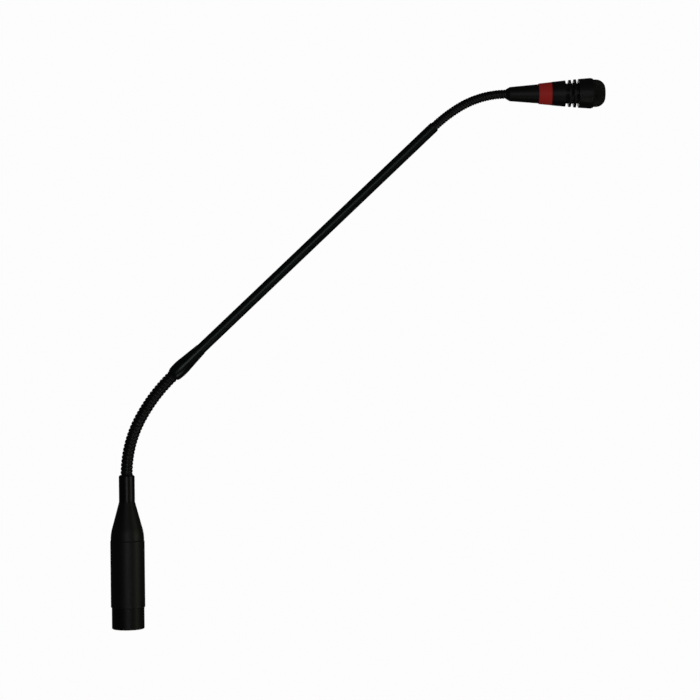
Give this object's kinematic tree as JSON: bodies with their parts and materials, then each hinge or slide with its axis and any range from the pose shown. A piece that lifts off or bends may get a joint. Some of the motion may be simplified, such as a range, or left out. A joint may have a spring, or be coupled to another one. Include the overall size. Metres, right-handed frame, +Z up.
{
  "type": "gooseneck podium microphone",
  "caption": "Slim black plug-in podium microphone: round plug handle, rigid stem between two flexible necks, small capsule head with a red ring.",
  "frame": {"origin": "centre of the plug shell's end face, where the microphone enters its socket", "axes": "+Z up along the plug's axis, the neck leans and the head points towards +X, Y across"},
  "size_m": [0.2924, 0.02, 0.319],
  "materials": {
    "plug_metal": "satin black plated metal",
    "insulator": "matte black moulded plastic",
    "contact_gold": "thin gold plate on turned brass",
    "screw_steel": "blackened steel",
    "handle_paint": "fine satin black coating",
    "ferrule_metal": "smooth semi-gloss black plate",
    "sleeve_metal": "smooth semi-gloss black plate",
    "stem_metal": "smooth semi-gloss black plate",
    "neck_wire": "satin black steel wire",
    "bush_brass": "turned brass",
    "board_laminate": "green solder mask",
    "capacitor_can": "sleeved aluminium can",
    "component_black": "matte epoxy",
    "resistor_ceramic": "glazed ceramic",
    "lead_jacket": "coloured wire insulation",
    "head_paint": "satin black coating with a soft sheen",
    "ring_red": "deep red translucent plastic, softly frosted",
    "led_body": "clear encapsulant over a white body",
    "acoustic_cloth": "fine black acoustic cloth",
    "boot_rubber": "soft black rubber",
    "capsule_metal": "drawn aluminium can",
    "grille_metal": "matte black woven wire",
    "windscreen_foam": "open-cell black foam",
    "cable_jacket": "matte black cable jacket"
  },
  "bodies": {
    "base": {"plug_shell": "plug_metal", "contact_insert": "insulator", "contact_pins": "contact_gold", "insert_screw": "screw_steel", "handle_barrel": "handle_paint", "tapered_collar": "handle_paint", "neck_ferrule": "ferrule_metal", "collar_nut": "bush_brass", "preamp_board": "board_laminate", "board_capacitors": "capacitor_can", "preamp_chip": "component_black", "board_resistors": "resistor_ceramic", "plug_leads": "lead_jacket", "cable_lower_run": "cable_jacket", "lower_neck_root": "neck_wire"},
    "lower_link_01": {"lower_neck_link_01": "neck_wire"},
    "lower_link_02": {"lower_neck_link_02": "neck_wire"},
    "lower_link_03": {"lower_neck_link_03": "neck_wire"},
    "lower_link_04": {"lower_neck_link_04": "neck_wire"},
    "lower_link_05": {"lower_neck_link_05": "neck_wire"},
    "lower_link_06": {"lower_neck_link_06": "neck_wire"},
    "stem": {"lower_neck_tip": "neck_wire", "joint_sleeve": "sleeve_metal", "stem_lower_bush": "bush_brass", "stem_tube": "stem_metal", "stem_upper_bush": "stem_metal", "cable_stem_run": "cable_jacket", "upper_neck_root": "neck_wire"},
    "upper_link_01": {"upper_neck_link_01": "neck_wire"},
    "upper_link_02": {"upper_neck_link_02": "neck_wire"},
    "upper_link_03": {"upper_neck_link_03": "neck_wire"},
    "upper_link_04": {"upper_neck_link_04": "neck_wire"},
    "head": {"upper_neck_tip": "neck_wire", "head_rear_shell": "head_paint", "head_gland": "bush_brass", "head_core": "bush_brass", "led_ring_lens": "ring_red", "led_board": "board_laminate", "ring_leds": "led_body", "slotted_barrel": "head_paint", "port_cloth": "acoustic_cloth", "capsule_boot": "boot_rubber", "capsule_can": "capsule_metal", "capsule_felt": "acoustic_cloth", "capsule_leads": "lead_jacket", "grille_ring": "head_paint", "grille_mesh": "grille_metal", "grille_foam": "windscreen_foam", "cable_upper_run": "cable_jacket"}
  },
  "joints": [
    {"name": "lower_bend_1", "type": "hinge", "parent": "base", "child": "lower_link_01", "pos_m": [0.00016, 0, 0.09471], "axis": [0.001, 1, 0], "range_deg": [-24, 9], "deforming": ["cable_lower_run"]},
    {"name": "lower_sway_1", "type": "hinge", "parent": "lower_link_01", "child": "lower_link_02", "pos_m": [0.00146, 0, 0.10404], "axis": [0.9786, 0, -0.206], "range_deg": [-20, 20], "deforming": ["cable_lower_run"]},
    {"name": "lower_bend_2", "type": "hinge", "parent": "lower_link_02", "child": "lower_link_03", "pos_m": [0.00404, 0, 0.1131], "axis": [0.001, 1, 0], "range_deg": [-24, 9], "deforming": ["cable_lower_run"]},
    {"name": "lower_sway_2", "type": "hinge", "parent": "lower_link_03", "child": "lower_link_04", "pos_m": [0.00783, 0, 0.12173], "axis": [0.8851, 0, -0.4654], "range_deg": [-20, 20], "deforming": ["cable_lower_run"]},
    {"name": "lower_bend_3", "type": "hinge", "parent": "lower_link_04", "child": "lower_link_05", "pos_m": [0.01266, 0, 0.12982], "axis": [0.001, 1, 0], "range_deg": [-24, 9], "deforming": ["cable_lower_run"]},
    {"name": "lower_sway_3", "type": "hinge", "parent": "lower_link_05", "child": "lower_link_06", "pos_m": [0.01823, 0, 0.13742], "axis": [0.778, 0, -0.6282], "range_deg": [-20, 20], "deforming": ["cable_lower_run"]},
    {"name": "lower_bend_4", "type": "hinge", "parent": "lower_link_06", "child": "stem", "pos_m": [0.02449, 0, 0.14447], "axis": [0.001, 1, 0], "range_deg": [-24, 9], "deforming": ["cable_lower_run"]},
    {"name": "upper_bend_1", "type": "hinge", "parent": "stem", "child": "upper_link_01", "pos_m": [0.1857, 0, 0.29478], "axis": [0.001, 1, 0], "range_deg": [-30, 12], "deforming": ["cable_upper_run"]},
    {"name": "upper_sway_1", "type": "hinge", "parent": "upper_link_01", "child": "upper_link_02", "pos_m": [0.19323, 0, 0.3004], "axis": [0.5534, 0, -0.8329], "range_deg": [-30, 30], "deforming": ["cable_upper_run"]},
    {"name": "upper_bend_2", "type": "hinge", "parent": "upper_link_02", "child": "upper_link_03", "pos_m": [0.20138, 0, 0.30507], "axis": [0.001, 1, 0], "range_deg": [-30, 12], "deforming": ["cable_upper_run"]},
    {"name": "upper_sway_2", "type": "hinge", "parent": "upper_link_03", "child": "upper_link_04", "pos_m": [0.21019, 0, 0.30829], "axis": [0.26, 0, -0.9656], "range_deg": [-30, 30], "deforming": ["cable_upper_run"]},
    {"name": "upper_bend_3", "type": "hinge", "parent": "upper_link_04", "child": "head", "pos_m": [0.21944, 0, 0.30993], "axis": [0.001, 1, 0], "range_deg": [-30, 12], "deforming": ["cable_upper_run"]}
  ],
  "couplings": [
    {"joint": "lower_bend_2", "follows": "lower_bend_1", "ratio": 1},
    {"joint": "lower_sway_2", "follows": "lower_sway_1", "ratio": 1},
    {"joint": "lower_bend_3", "follows": "lower_bend_1", "ratio": 1},
    {"joint": "lower_sway_3", "follows": "lower_sway_1", "ratio": 1},
    {"joint": "lower_bend_4", "follows": "lower_bend_1", "ratio": 1},
    {"joint": "upper_bend_2", "follows": "upper_bend_1", "ratio": 1},
    {"joint": "upper_sway_2", "follows": "upper_sway_1", "ratio": 1},
    {"joint": "upper_bend_3", "follows": "upper_bend_1", "ratio": 1}
  ]
}
